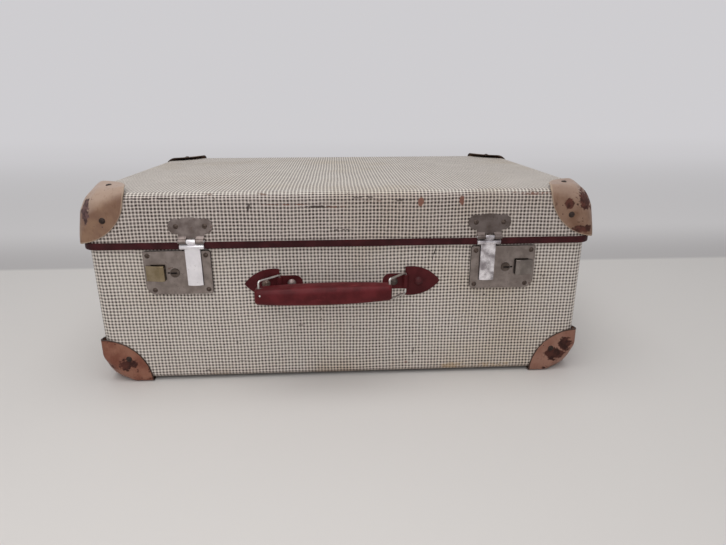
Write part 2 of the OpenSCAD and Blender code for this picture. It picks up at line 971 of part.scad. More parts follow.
module key_plug(side) {
    color(steel)
        plug_place(side)
            difference() {
                union() {
                    translate([0, 0, -wall_t])
                        cylinder(r = plug_r, h = wall_t + lock_depth + plug_proud);
                    translate([0, 0, -wall_t - 2 * seat - lock_back_t])
                        cylinder(r = plug_tail_r, h = lock_back_t + 2 * seat);
                }
                translate([-plug_r / 2, -key_slot_h / 2, lock_depth - lock_t])
                    cube([2 * plug_r, key_slot_h, 2 * lock_depth]);
            }
}

// Collar on the plug, whose nose turns down beside the bolt's bar
module key_cam(side) {
    nose_w = plug_r;
    color(steel)
        plug_place(side)
            translate([0, 0, bolt_y])
                difference() {
                    linear_extrude(bolt_t) {
                        circle(plug_r + cam_wall);
                        translate([-cam_reach, -nose_w / 2])
                            square([cam_reach, nose_w]);
                    }
                    cylinder(r = plug_r + pin_play, h = DEEP, center = true);
                }
}

// Hasps, drawn for the right side in the on_front frame

module hasp_axis(grow, x, w) {
    across(x, w)
        translate([hasp_axis_z, hasp_axis_y])
            circle(grow);
}

// Arched plate, wide at the rivets and narrow at the hinge
module hasp_plate_outline() {
    arch_r = (hasp_plate_w * hasp_plate_w / 4 + hasp_plate_arch * hasp_plate_arch) / (2 * hasp_plate_arch);
    shoulder = hasp_plate_top - hasp_plate_arch;
    lobe = (hasp_plate_w - hasp_rivet_pitch) / 2;
    foot = binding_h + run;
    intersection() {
        translate([0, hasp_plate_top - arch_r])
            circle(arch_r);
        translate([-hasp_plate_w / 2, shoulder])
            square([hasp_plate_w, hasp_plate_arch]);
    }
    for (s = [-1, 1])
        translate([s * hasp_rivet_pitch / 2, hasp_rivet_h])
            circle(lobe);
    translate([-hasp_rivet_pitch / 2, hasp_rivet_h - lobe])
        square([hasp_rivet_pitch, shoulder + lobe - hasp_rivet_h]);
    translate([-hinge_w / 2, foot])
        square([hinge_w, hasp_rivet_h - foot]);
}

module hasp_rivet_spots(out) {
    for (s = [-1, 1])
        translate([hasp_x + s * hasp_rivet_pitch / 2, part_z + hasp_rivet_h, out])
            children();
}

module hasp_rivet_places(side) {
    on_front(side)
        hasp_rivet_spots(lid_face)
            children();
}

module hasp_plate(side) {
    web_h = knuckle_r * 2;
    plate_y = lid_face + hasp_plate_t;
    color(steel)
        on_front(side)
            difference() {
                union() {
                    translate([hasp_x, part_z, lid_face + seat])
                        linear_extrude(hasp_plate_t - seat)
                            hasp_plate_outline();
                    for (s = [-1, 1]) {
                        x = hasp_x + s * (hinge_w - side_knuckle_w) / 2;
                        hasp_axis(knuckle_r, x, side_knuckle_w);
                        across(x, side_knuckle_w)
                            polygon([
                                [hasp_axis_z, plate_y],
                                [hasp_axis_z, hasp_axis_y + knuckle_r],
                                [hasp_axis_z + web_h, plate_y]
                            ]);
                    }
                }
                hasp_axis(hasp_pin_r + pin_play, hasp_x, 2 * hinge_w);
                translate([hasp_x - tongue_w / 2 - run, part_z, lid_face])
                    cube([tongue_w + 2 * run, hasp_axis_h + knuckle_r + run, DEEP]);
                hasp_rivet_spots(lid_face)
                    rivet_hole(small_shank_r, DEEP);
            }
}

// Crowned bar with a half-round shoulder, a tongue rolled round the pin and a hook at its foot
module hasp(side) {
    crown_r = (hasp_w * hasp_w / 4 + hasp_crown * hasp_crown) / (2 * hasp_crown);
    front = hasp_back + hasp_side_t + hasp_crown;
    color(bright_steel)
        on_front(side)
            difference() {
                union() {
                    upright(hasp_foot_z, bar_z - hasp_foot_z)
                        intersection() {
                            translate([hasp_x, front - crown_r])
                                circle(crown_r);
                            translate([hasp_x - hasp_w / 2, bar_y])
                                square([hasp_w, front]);
                        }
                    upright(hasp_foot_z, lock_foot + lock_h - run - hasp_foot_z)
                        translate([hasp_x - hasp_w / 2, hasp_back])
                            square([hasp_w, bar_y - hasp_back]);
                    across(hasp_x, bar_w)
                        intersection() {
                            translate([bar_z, bar_y])
                                circle(bar_r);
                            translate([bar_z - bar_r, bar_y])
                                square(2 * bar_r);
                        }
                    across(hasp_x, tongue_w)
                        translate([bar_z, bar_y])
                            square([hasp_axis_z - bar_z, knuckle_r / 2]);
                    hasp_axis(knuckle_r, hasp_x, tongue_w);
                    translate([hasp_x - hasp_w / 4, hook_z, run])
                        cube([hasp_w / 2, bolt_h, hasp_back - run]);
                }
                hasp_axis(hasp_pin_r + pin_play, hasp_x, 2 * hinge_w);
            }
}

module hasp_pin(side) {
    color(bright_steel)
        on_front(side)
            hasp_axis(hasp_pin_r, hasp_x, hinge_w + 2 * run);
}

module hasp_rivets(side) {
    color(steel)
        on_front(side)
            hasp_rivet_spots(lid_face + hasp_plate_t)
                rivet(lock_head_r, lock_head_h, small_shank_r, hasp_plate_t + wall_t);
}

// Rear hinges, drawn for the right side: x across, (y, z) sections in the case's own frame

module rear_section(side, x, w) {
    placed()
        on_side(side)
            translate([x - w / 2, 0, 0])
                rotate([90, 0, 90])
                    linear_extrude(w)
                        children();
}

module rear_knuckle(side, r, x, w) {
    rear_section(side, x, w)
        translate([rear_axis_y, part_z])
            circle(r);
}

module hinge_base_rivet_places(side) {
    rear_rivet_places(side, base_d / 2, rear_base_z - rear_leaf_h / 2)
        children();
}

module hinge_lid_rivet_places(side) {
    rear_rivet_places(side, case_d / 2, rear_lid_z + rear_leaf_h / 2)
        children();
}

// Two places on a rear face, with z pointing out of the face
module rear_rivet_places(side, y, z) {
    placed()
        on_side(side)
            for (s = [-1, 1])
                translate([rear_x + s * rear_rivet_x, y + rear_t, z])
                    rotate([-90, 0, 0])
                        children();
}

// Leaf on the base with two knuckles, cranked out past the lid's overhang
module hinge_base_leaf(side) {
    face = base_d / 2 + seat;
    skin = base_d / 2 + rear_t;
    crank_drop = rear_knuckle_r * sin(crank_angle);
    color(steel)
        difference() {
            union() {
                rear_section(side, rear_x, rear_w)
                    translate([face, rear_base_z - rear_leaf_h])
                        square([rear_t - seat, rear_leaf_h]);
                for (s = [-1, 1]) {
                    x = rear_x + s * (rear_w - rear_side_w) / 2;
                    rear_knuckle(side, rear_knuckle_r, x, rear_side_w);
                    rear_section(side, x, rear_side_w)
                        polygon([
                            [face, rear_base_z - rear_t],
                            [skin, rear_base_z - 2 * rear_t],
                            [rear_axis_y + rear_knuckle_r / 2, part_z - crank_drop],
                            [rear_axis_y - rear_knuckle_r / 2, part_z - crank_drop / 2],
                            [face, rear_base_z]
                        ]);
                }
            }
            rear_knuckle(side, rear_pin_r + pin_play, rear_x, 2 * rear_w);
            hinge_base_rivet_places(side)
                rivet_hole(small_shank_r, DEEP);
        }
}

// Leaf on the lid with the middle knuckle, stepped out past the binding
module hinge_lid_leaf(side) {
    face = case_d / 2 + seat;
    step = case_d / 2 + binding_t + run;
    color(steel)
        difference() {
            union() {
                rear_section(side, rear_x, rear_w)
                    translate([face, rear_lid_z])
                        square([rear_t - seat, rear_leaf_h]);
                rear_section(side, rear_x, rear_middle_w) {
                    translate([step, part_z])
                        square([rear_t, binding_h + 2 * rear_t]);
                    translate([face, rear_lid_z])
                        square([step - face, 2 * rear_t - run]);
                }
                rear_knuckle(side, rear_knuckle_r, rear_x, rear_middle_w);
            }
            rear_knuckle(side, rear_pin_r + pin_play, rear_x, 2 * rear_w);
            hinge_lid_rivet_places(side)
                rivet_hole(small_shank_r, DEEP);
        }
}

module hinge_pin(side) {
    color(steel)
        rear_knuckle(side, rear_pin_r, rear_x, rear_w + 2 * run);
}

module hinge_base_rivets() {
    color(rust)
        for (side = [LEFT, RIGHT])
            hinge_base_rivet_places(side)
                rivet(small_head_r, small_head_h, small_shank_r, rear_t + wall_t);
}

module hinge_lid_rivets() {
    color(rust)
        for (side = [LEFT, RIGHT])
            hinge_lid_rivet_places(side)
                rivet(small_head_r, small_head_h, small_shank_r, rear_t + wall_t);
}

base_shell();
base_lining();
lid_shell();
lid_lining();
lid_frame();
lid_binding();
base_cap(LEFT, FRONT);  // base_cap_front_left
base_cap(RIGHT, FRONT);  // base_cap_front_right
base_cap(LEFT, REAR);  // base_cap_rear_left
base_cap(RIGHT, REAR);  // base_cap_rear_right
lid_cap(LEFT, FRONT);  // lid_cap_front_left
lid_cap(RIGHT, FRONT);  // lid_cap_front_right
lid_cap(LEFT, REAR);  // lid_cap_rear_left
lid_cap(RIGHT, REAR);  // lid_cap_rear_right
base_cap_rivets();
lid_cap_rivets();
handle_plate(LEFT);  // handle_plate_left
handle_plate(RIGHT);  // handle_plate_right
handle_rivets();
handle_ring(LEFT);  // handle_ring_left
handle_ring(RIGHT);  // handle_ring_right
handle_grip();
handle_core();
lock_plate(LEFT);  // lock_plate_left
lock_plate(RIGHT);  // lock_plate_right
lock_back(LEFT);  // lock_back_left
lock_back(RIGHT);  // lock_back_right
lock_rivets(LEFT);  // lock_rivets_left
lock_rivets(RIGHT);  // lock_rivets_right
slide_button(LEFT);  // slide_button_left
slide_button(RIGHT);  // slide_button_right
slide_bolt(LEFT);  // slide_bolt_left
slide_bolt(RIGHT);  // slide_bolt_right
bolt_spring(LEFT);  // bolt_spring_left
bolt_spring(RIGHT);  // bolt_spring_right
key_plug(LEFT);  // key_plug_left
key_plug(RIGHT);  // key_plug_right
key_cam(LEFT);  // key_cam_left
key_cam(RIGHT);  // key_cam_right
hasp_plate(LEFT);  // hasp_plate_left
hasp_plate(RIGHT);  // hasp_plate_right
hasp(LEFT);  // hasp_left
hasp(RIGHT);  // hasp_right
hasp_pin(LEFT);  // hasp_pin_left
hasp_pin(RIGHT);  // hasp_pin_right
hasp_rivets(LEFT);  // hasp_rivets_left
hasp_rivets(RIGHT);  // hasp_rivets_right
hinge_base_leaf(LEFT);  // hinge_base_leaf_left
hinge_base_leaf(RIGHT);  // hinge_base_leaf_right
hinge_lid_leaf(LEFT);  // hinge_lid_leaf_left
hinge_lid_leaf(RIGHT);  // hinge_lid_leaf_right
hinge_pin(LEFT);  // hinge_pin_left
hinge_pin(RIGHT);  // hinge_pin_right
hinge_base_rivets();
hinge_lid_rivets();
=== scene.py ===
import json
import math
import bmesh
import bpy
from mathutils import Matrix, Vector

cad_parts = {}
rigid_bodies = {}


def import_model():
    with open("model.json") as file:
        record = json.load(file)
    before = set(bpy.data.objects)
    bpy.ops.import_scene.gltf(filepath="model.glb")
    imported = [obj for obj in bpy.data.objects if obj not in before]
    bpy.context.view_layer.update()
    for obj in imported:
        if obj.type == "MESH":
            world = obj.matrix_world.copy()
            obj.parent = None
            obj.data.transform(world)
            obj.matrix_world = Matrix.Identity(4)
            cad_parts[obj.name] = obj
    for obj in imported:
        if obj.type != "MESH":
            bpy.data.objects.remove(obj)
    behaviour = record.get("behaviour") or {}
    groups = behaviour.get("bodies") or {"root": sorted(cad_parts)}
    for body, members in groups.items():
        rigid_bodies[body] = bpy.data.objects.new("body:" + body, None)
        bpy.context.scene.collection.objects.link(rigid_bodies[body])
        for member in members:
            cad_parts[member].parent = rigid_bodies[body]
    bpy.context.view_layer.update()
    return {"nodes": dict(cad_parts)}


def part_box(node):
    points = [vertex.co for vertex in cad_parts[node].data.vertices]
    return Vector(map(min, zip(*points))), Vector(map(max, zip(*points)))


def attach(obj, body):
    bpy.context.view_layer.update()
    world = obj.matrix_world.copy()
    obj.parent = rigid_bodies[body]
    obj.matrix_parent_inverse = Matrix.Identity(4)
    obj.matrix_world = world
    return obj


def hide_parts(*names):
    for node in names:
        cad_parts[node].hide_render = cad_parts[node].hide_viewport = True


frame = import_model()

nodes = frame["nodes"]
scene = bpy.context.scene
MM = 0.001
SIDES = ("left", "right")


def box_mm(name):
    """A node's low and high corners in millimetres."""
    return tuple(Vector(c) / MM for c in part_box(name))


# Camera at the photograph's place

PITCH, YAW, ROLL = (math.radians(a) for a in (18.019, 2.943, -0.170))
CAMERA_AT = (-0.00536, -0.65166, 0.27774)
FOCAL, SENSOR = 25.942, 36
UP = Vector((0, 0, 1))
ahead = Vector((math.sin(YAW), math.cos(YAW), 0))
aside = Vector((math.cos(YAW), -math.sin(YAW), 0))
look = math.cos(PITCH) * ahead - math.sin(PITCH) * UP
over = math.sin(PITCH) * ahead + math.cos(PITCH) * UP
right = math.cos(ROLL) * aside + math.sin(ROLL) * over
above = math.cos(ROLL) * over - math.sin(ROLL) * aside
lens = bpy.data.cameras.new("camera")
lens.sensor_fit = "HORIZONTAL"
lens.sensor_width = SENSOR
lens.lens = FOCAL
lens.clip_start = 0.01
camera = bpy.data.objects.new("camera", lens)
scene.collection.objects.link(camera)
turn = Matrix((right, above, -look)).transposed().to_4x4()
camera.matrix_world = Matrix.Translation(CAMERA_AT) @ turn
scene.camera = camera


# Shader nodes

class Graph:
    """Short names for making the nodes of one shader tree."""

    def __init__(self, tree):
        self.tree = tree

    def node(self, kind, **values):
        n = self.tree.nodes.new(kind)
        for k, v in values.items():
            setattr(n, k, v)
        return n

    def put(self, socket, value):
        if isinstance(value, bpy.types.NodeSocket):
            self.tree.links.new(value, socket)
        elif isinstance(value, tuple) and len(value) == 3 and len(socket.default_value) == 4:
            socket.default_value = (*value, 1)
        else:
            socket.default_value = value

    def math(self, op, a, b=0.0, c=0.0, clamp=False):
        n = self.node("ShaderNodeMath", operation=op, use_clamp=clamp)
        for s, v in zip(n.inputs, (a, b, c)):
            self.put(s, v)
        return n.outputs[0]

    def vector(self, op, a, b):
        n = self.node("ShaderNodeVectorMath", operation=op)
        self.put(n.inputs[0], a)
        self.put(n.inputs[1], b)
        return n.outputs[0]

    def parts(self, v):
        n = self.node("ShaderNodeSeparateXYZ")
        self.put(n.inputs[0], v)
        return n.outputs[0], n.outputs[1], n.outputs[2]

    def add(self, a, b):
        return self.math("ADD", a, b)

    def less(self, a, b):
        return self.math("SUBTRACT", a, b)

    def times(self, a, b):
        return self.math("MULTIPLY", a, b)

    def most(self, a, b):
        return self.math("MAXIMUM", a, b)

    def size(self, a):
        return self.math("ABSOLUTE", a)

    def square(self, a):
        return self.math("POWER", a, 2.0)

    def smooth(self, v, low, high):
        """0 at low, 1 at high, eased between."""
        n = self.node("ShaderNodeMapRange", interpolation_type="SMOOTHSTEP")
        self.put(n.inputs["Value"], v)
        self.put(n.inputs["From Min"], low)
        self.put(n.inputs["From Max"], high)
        return n.outputs[0]

    def span(self, v, low, high, stop=1.0):
        """From low to high as v goes from 0 to stop."""
        n = self.node("ShaderNodeMapRange")
        self.put(n.inputs["Value"], v)
        self.put(n.inputs["From Max"], stop)
        self.put(n.inputs["To Min"], low)
        self.put(n.inputs["To Max"], high)
        return n.outputs[0]

    def mix(self, fac, a, b, mode="MIX"):
        n = self.node("ShaderNodeMix", data_type="RGBA", blend_type=mode)
        self.put(n.inputs[0], fac)
        self.put(n.inputs[6], a)
        self.put(n.inputs[7], b)
        return n.outputs[2]

    def pick(self, fac, a, b):
        return self.add(self.times(a, self.less(1.0, fac)), self.times(b, fac))

    def seen(self):
        """1 for rays from the camera, off glossy surfaces and through clear ones."""
        rays = self.node("ShaderNodeLightPath").outputs
        return self.most(rays["Is Camera Ray"], self.most(rays["Is Glossy Ray"], rays["Is Transmission Ray"]))

    def blend(self, fac, a, b):
        n = self.node("ShaderNodeMixShader")
        for s, v in zip(n.inputs, (fac, a, b)):
            self.put(s, v)
        return n.outputs[0]


class Paint(Graph):
    """A procedural material, with coordinates in the part's own millimetres."""

    def __init__(self, name, rough=0.5, metal=0.0):
        self.mat = bpy.data.materials.new(name)
        self.mat.use_nodes = True
        super().__init__(self.mat.node_tree)
        self.bsdf = self.tree.nodes["Principled BSDF"]
        self.set("Roughness", rough)
        self.set("Metallic", metal)
        co = self.node("ShaderNodeTexCoord")
        self.at = self.vector("MULTIPLY", co.outputs["Object"], (1000, 1000, 1000))
        self.x, self.y, self.z = self.parts(self.at)
        self.nx, self.ny, self.nz = self.parts(co.outputs["Normal"])

    def set(self, name, value):
        self.put(self.bsdf.inputs[name], value)

    def noise(self, size, detail=3.0, rough=0.55, stretch=(1, 1, 1), seed=0.0):
        n = self.node("ShaderNodeTexNoise")
        spot = self.vector("MULTIPLY", self.at, stretch)
        self.put(n.inputs["Vector"], self.vector("ADD", spot, (seed * 137.0, seed * 71.0, seed * 53.0)))
        self.put(n.inputs["Scale"], 1.0 / size)
        self.put(n.inputs["Detail"], detail)
        self.put(n.inputs["Roughness"], rough)
        return n.outputs[0]

    def uneven(self, amount, *noise, **more):
        """Noise about zero, over the amount in all."""
        return self.math("MULTIPLY_ADD", self.noise(*noise, **more), amount, -amount / 2)

    def patches(self, low, high, *noise, **more):
        """Noise turned into patches with soft edges."""
        return self.smooth(self.noise(*noise, **more), low, high)

    def cells(self, size, seed=0.0):
        n = self.node("ShaderNodeTexVoronoi")
        self.put(n.inputs["Vector"], self.vector("ADD", self.at, (seed * 91.0, seed * 47.0, seed * 29.0)))
        self.put(n.inputs["Scale"], 1.0 / size)
        return n.outputs["Distance"]

    def dots(self, low, high, size, seed=0.0):
        """One soft dot in each cell."""
        return self.smooth(self.cells(size, seed), low, high)

    def oval(self, u, v, cu, cv, ru, rv, wobble, lean=0.0):
        """1 inside an uneven oval round (cu, cv), 0 outside it."""
        du, dv = self.less(u, cu), self.less(v, cv)
        if lean:
            du = self.less(du, self.times(dv, lean))
        du, dv = self.math("DIVIDE", du, ru), self.math("DIVIDE", dv, rv)
        d = self.math("SQRT", self.add(self.times(du, du), self.times(dv, dv)))
        return self.smooth(self.add(d, wobble), 1.15, 0.8)

    def bump(self, height, strength, depth=0.0004, ease=0.0):
        n = self.node("ShaderNodeBump")
        if ease:
            soft = self.node("ShaderNodeBevel")
            self.put(soft.inputs["Radius"], ease * MM)
            self.put(n.inputs["Normal"], soft.outputs[0])
        self.put(n.inputs["Strength"], strength)
        self.put(n.inputs["Distance"], depth)
        self.put(n.inputs["Height"], height)
        self.set("Normal", n.outputs[0])


# Covering of the two trays

CHECK_PITCH = 3.4375
WHITE_LOW, WHITE_HIGH = (0.80, 0.755, 0.69), (0.88, 0.83, 0.765)
STRIPE_LOW, STRIPE_HIGH = (0.47, 0.415, 0.375), (0.55, 0.49, 0.445)
INK = (0.046, 0.031, 0.027)
YELLOWED, SOILED = (0.80, 0.70, 0.52), (0.66, 0.52, 0.36)
SPECK, SCRATCH, RUBBED = (0.10, 0.055, 0.035), (0.12, 0.08, 0.06), (0.17, 0.085, 0.055)
# Painted shade along the foot (with grime) and behind the lock plates
FOOT_GRIME_AND_SHADE, LOCK_PAINTED_SHADE = (0.075, 0.05, 0.04), (0.03, 0.022, 0.018)
RED_BROWN, DARK = (0.20, 0.085, 0.055), (0.045, 0.028, 0.024)
SOIL_HEIGHT = 26.0
LOCK_RIM, LOCK_FADE = 3.4, 4.4

# Worn marks on the front: place across and up, half width, half height, lean, strength, tone
LID_MARKS = [
    (76.1, 187.0, 3.0, 4.6, 0.0, 0.95, (0.26, 0.11, 0.075)),
    (115.8, 187.6, 2.4, 5.0, 0.0, 0.95, (0.24, 0.10, 0.07)),
    (-23, 183.2, 17, 1.2, 0.0, 0.9, DARK),
    (-54, 185.6, 20, 0.8, 0.0, 0.8, RED_BROWN),
    (-6, 182.8, 9, 0.7, 0.0, 0.8, RED_BROWN),
    (-2.0, 160.3, 11, 0.7, 0.0, 0.85, DARK),
    (-165, 192.4, 38, 0.9, 0.0, 0.85, DARK),
    (-88.5, 183.6, 1.4, 3.6, 0.2, 0.85, DARK),
    (190, 193.3, 20, 1.2, 0.0, 0.8, RED_BROWN),
    (30, 188.0, 10, 0.7, 0.0, 0.6, RED_BROWN),
    (58, 188.4, 10, 1.2, 0.0, 0.75, DARK),
    (21, 191.8, 12, 1.0, 0.0, 0.7, DARK),
]
BASE_MARKS = [
    (118, 8.5, 16, 3.6, 0.0, 0.5, (0.46, 0.31, 0.15)),
    (160, 8.5, 20, 3.0, 0.0, 0.45, (0.48, 0.33, 0.17)),
    (91.4, 133.3, 0.8, 6.0, 0.25, 0.9, DARK),
    (-141, 10.7, 6, 0.8, 0.0, 0.7, DARK),
    (-44.9, 59.7, 4, 0.7, 0.0, 0.6, DARK),
    (73.1, 27.8, 0.8, 4.0, 0.2, 0.75, DARK),
    (145, 89.0, 1.3, 1.1, 0.0, 0.8, DARK),
    (-110, 42.0, 1.0, 1.6, 0.0, 0.7, DARK),
    (66, 14.0, 1.6, 1.1, 0.0, 0.7, RED_BROWN),
]


def covering(name, tray, marks, foot, off_top_shade, broad):
    """Printed check on coated paper: a dark and a light stripe both ways, yellowed and rubbed, with painted
    shade on every face but the top, along the foot and behind the locks.
    """
    p = Paint(name)
    ax, ay, az = (p.size(n) for n in (p.nx, p.ny, p.nz))
    lo, hi = box_mm(tray)
    half_w, half_d, mid_y = (hi.x - lo.x) / 2, (hi.y - lo.y) / 2, (hi.y + lo.y) / 2
    on_top = p.math("GREATER_THAN", az, p.most(ax, ay))
    on_front = p.times(p.math("GREATER_THAN", ay, p.most(ax, az)), p.math("LESS_THAN", p.ny, 0.0))
    # The check runs on over the folds: each distance goes out along the top or bottom, then along the side
    on_end, on_fold = p.math("GREATER_THAN", ax, ay), p.math("GREATER_THAN", az, 0.02)
    from_mid = p.less(p.y, mid_y)
    out_x, out_y = p.size(p.x), p.size(from_mid)
    along = p.less(hi.z, p.z) if tray.startswith("lid") else p.less(p.z, lo.z)
    u = p.pick(on_end, out_x, p.add(p.pick(on_fold, half_w, out_x), along))
    v = p.pick(on_end, p.add(p.pick(on_fold, half_d, out_y), along), out_y)
    drift, shake = p.uneven(3.0, 90, 1.0), p.uneven(1.1, 5, 3.0)
    u = p.add(u, p.times(p.math("SIGN", p.x), p.add(drift, shake)))
    v = p.add(v, p.times(p.math("SIGN", from_mid), p.less(shake, drift)))
    bands = []
    for w in (u, v):
        wave = p.math("COSINE", p.times(w, 2 * math.pi / CHECK_PITCH))
        bands.append(p.smooth(wave, -0.27 - broad, 0.20 - broad))
    both, either = p.times(*bands), p.most(*bands)
    fade = p.times(p.span(p.noise(38, 4.0), 0.74, 1.16), p.math("MULTIPLY_ADD", on_top, -0.16, 1.0))
    ink = p.times(fade, p.span(p.noise(2.6, 2.0, seed=12), 0.55, 1.35))
    white = p.mix(p.noise(55, 3.0, seed=1), WHITE_LOW, WHITE_HIGH)
    stripe = p.mix(p.noise(25, 3.0, seed=2), STRIPE_LOW, STRIPE_HIGH)
    colour = p.mix(p.math("MULTIPLY", either, fade, clamp=True), white, stripe)
    colour = p.mix(p.math("MULTIPLY", both, ink, clamp=True), colour, INK)
    colour = p.mix(p.times(p.patches(0.5, 0.75, 120, 3.0, seed=3), 0.35), colour, YELLOWED, "MULTIPLY")
    # Specks and small scratches
    specks = p.times(p.dots(0.075, 0.035, 16, 1.0), p.patches(0.48, 0.6, 50, 2.0, seed=4))
    colour = p.mix(p.times(specks, 0.8), colour, SPECK)
    hair = p.patches(0.70, 0.74, 5, 3.0, stretch=(0.12, 0.12, 1.6), seed=5)
    hair = p.times(hair, p.patches(0.52, 0.64, 60, 2.0, seed=6))
    colour = p.mix(p.times(hair, 0.6), colour, SCRATCH)
    # Rubbed edges, where the surface turns from one face to the next
    edge = p.smooth(p.most(p.most(ax, ay), az), 0.96, 0.80)
    streaks = p.noise(4, 5.0, 0.65, stretch=(0.3, 0.3, 1.3), seed=7)
    rub = p.times(p.smooth(p.add(streaks, p.times(edge, 0.06)), 0.64, 0.72), edge)
    colour = p.mix(p.times(rub, 0.7), colour, RUBBED)
    # Soiling towards the foot, then grime and painted shade along the lowest few millimetres, next to the floor
    soil = p.times(p.smooth(p.z, foot, foot - SOIL_HEIGHT), p.patches(0.44, 0.66, 30, 4.0, seed=8))
    colour = p.mix(p.times(soil, 0.45), colour, SOILED, "MULTIPLY")
    foot_grime_and_shade = p.smooth(p.add(p.z, p.uneven(3.0, 6, 4.0, seed=14)), 7.5, 2.5)
    colour = p.mix(p.times(foot_grime_and_shade, 0.8), colour, FOOT_GRIME_AND_SHADE)
    if tray.startswith("base"):
        # Painted shade behind the lock plates, seen only through their windows and notches
        near, top = box_mm("lock_plate_right")
        lock_shade = on_front
        for place, start, stop in ((out_x, near.x, top.x), (p.z, near.z, top.z)):
            lock_shade = p.times(lock_shade, p.smooth(place, start + LOCK_RIM, start + LOCK_FADE))
            lock_shade = p.times(lock_shade, p.smooth(place, stop - LOCK_RIM, stop - LOCK_FADE))
        lock_shade = p.times(lock_shade, p.span(p.noise(4, 3.0, seed=15), 0.88, 1.0))
        colour = p.mix(lock_shade, colour, LOCK_PAINTED_SHADE)
    # Worn marks, the long ones broken up
    wobble = p.uneven(1.3, 3.2, 3.0, seed=9)
    broken = p.times(on_front, p.patches(0.44, 0.54, 3.4, 3.0, seed=13))
    for cx, cz, rx, rz, lean, amount, tone in marks:
        long = rx > 4 * rz or rz > 4 * rx
        spot = p.times(p.oval(p.x, p.z, cx, cz, rx, rz, wobble, lean), broken if long else on_front)
        colour = p.mix(p.times(spot, amount), colour, tone)
    # Painted shade: every face but the top is multiplied by the given tone, about a tenth darker on the lid
    p.set("Base Color", p.mix(p.less(1.0, on_top), colour, off_top_shade, "MULTIPLY"))
    p.set("Roughness", p.span(p.noise(14, 3.0, seed=10), 0.46, 0.66))
    p.set("Specular IOR Level", 0.3)
    relief = p.add(p.times(p.noise(0.9, 2.0), 0.5), p.times(p.add(*bands), -0.3))
    p.bump(p.less(relief, rub), 0.25)
    return p.mat


# Other materials

# Pale tone of dust and painted sheen on the caps' upward faces, and the tone of the streaks
CAP_DUST_AND_SHEEN, CAP_STREAK = (0.50, 0.37, 0.295), (0.60, 0.45, 0.38)
# Rust, and the near-black painted shade of hollows
RUST, HOLLOW_SHADE = (0.13, 0.062, 0.038), (0.012, 0.009, 0.008)
LIP_START, LIP_END = 45.4, 46.3


def darker(tone, part):
    return tuple(c * part for c in tone)


def cap_paint(name, pale, warm, worn, level, spots, rim, corner, dust_and_sheen_amount):
    """Chipped cream paint over rusty steel, with the larger patches placed as ovals on the front, and upward
    faces paler with dust and a painted sheen.
    """
    p = Paint(name)
    seed = 3.0 + len(bpy.data.materials)
    tone = p.mix(p.patches(0.35, 0.68, 17, 4.0, seed=seed), pale, warm)
    # Dust and a painted sheen: the more a face looks up, the paler it is
    dust_and_sheen = p.smooth(p.add(p.nz, p.uneven(0.3, 7, 3.0, seed=seed + 9)), 0.08, 0.62)
    tone = p.mix(p.times(dust_and_sheen, dust_and_sheen_amount), tone, CAP_DUST_AND_SHEEN)
    wobble = p.uneven(2.6, 5, 6.0, 0.62, seed=seed + 1)
    wear = p.smooth(p.add(p.noise(11, 5.0, 0.62, seed=seed + 2), level), 0.60, 0.68)
    for cx, cz, rx, rz in spots:
        wear = p.most(wear, p.oval(p.x, p.z, cx, cz, rx, rz, wobble))
    chips = p.times(p.dots(0.16, 0.09, 5.5, seed), p.patches(0.50, 0.60, 9, 2.0, seed=seed + 3))
    wear = p.most(wear, chips)
    rust = p.mix(p.patches(0.36, 0.64, 5, 4.0, seed=seed + 4), worn, darker(worn, 0.42))
    colour = p.mix(wear, tone, rust)
    streak = p.patches(0.54, 0.72, 2.4, 3.0, stretch=(1, 1, 0.3), seed=seed + 5)
    colour = p.mix(p.times(streak, 0.35), colour, CAP_STREAK, "MULTIPLY")
    # The rim, by its distance from the corner; on most caps its near-black tone is painted shade with dirt
    dx, dy, dz = (p.square(p.less(a, c)) for a, c in zip((p.x, p.y, p.z), corner))
    far = p.math("SQRT", p.add(dx, p.add(dy, dz)))
    lip = p.smooth(p.add(far, p.uneven(1.6, 5, 3.0, seed=seed + 6)), LIP_START, LIP_END)
    p.set("Base Color", p.mix(p.times(lip, 0.85), colour, rim))
    p.set("Specular IOR Level", 0.22)
    p.set("Roughness", p.pick(wear, p.span(p.noise(8, 3.0, seed=seed + 7), 0.30, 0.46), 0.68))
    p.bump(p.less(p.times(p.noise(1.6, 4.0, seed=seed + 8), 0.5), wear), 0.4)
    return p.mat


def metal(name, low, high, rough, rust=0.0, brush=0.0, hollow_shade_depth=None, plated=1.0, ease=0.0):
    """Old plated steel: uneven tone and gloss, fine pits, rust where the plating has gone, and near-black
    painted shade with grime behind a given depth.
    """
    p = Paint(name, metal=1.0)
    seed = 11.0 + len(bpy.data.materials)
    colour = p.mix(p.patches(0.32, 0.70, 9, 4.0, seed=seed), low, high)
    pits = p.times(p.dots(0.20, 0.10, 2.6, seed), p.patches(0.45, 0.60, 12, 2.0, seed=seed + 1))
    colour = p.mix(p.times(pits, 0.55), colour, darker(low, 0.35))
    gone = p.smooth(p.add(p.noise(6, 5.0, 0.65, seed=seed + 2), rust), 0.66, 0.74)
    colour = p.mix(gone, colour, RUST)
    # Painted shade with grime, near black, from the given depth back into the part
    if hollow_shade_depth:
        hollow_shade = p.smooth(p.y, hollow_shade_depth, hollow_shade_depth + 0.7)
        gone = p.most(gone, hollow_shade)
        colour = p.mix(hollow_shade, colour, HOLLOW_SHADE)
    p.set("Base Color", colour)
    p.set("Metallic", p.math("MULTIPLY_ADD", gone, -0.75 * plated, plated))
    gloss = p.span(p.noise(7, 4.0, seed=seed + 3), rough - 0.07, rough + 0.1)
    p.set("Roughness", p.pick(gone, gloss, 0.75))
    fine = p.noise(0.8, 3.0, stretch=(1, 1, 1 - brush), seed=seed + 4)
    p.bump(p.less(p.times(fine, 0.35), p.most(pits, gone)), 0.22, 0.0002, ease)
    return p.mat


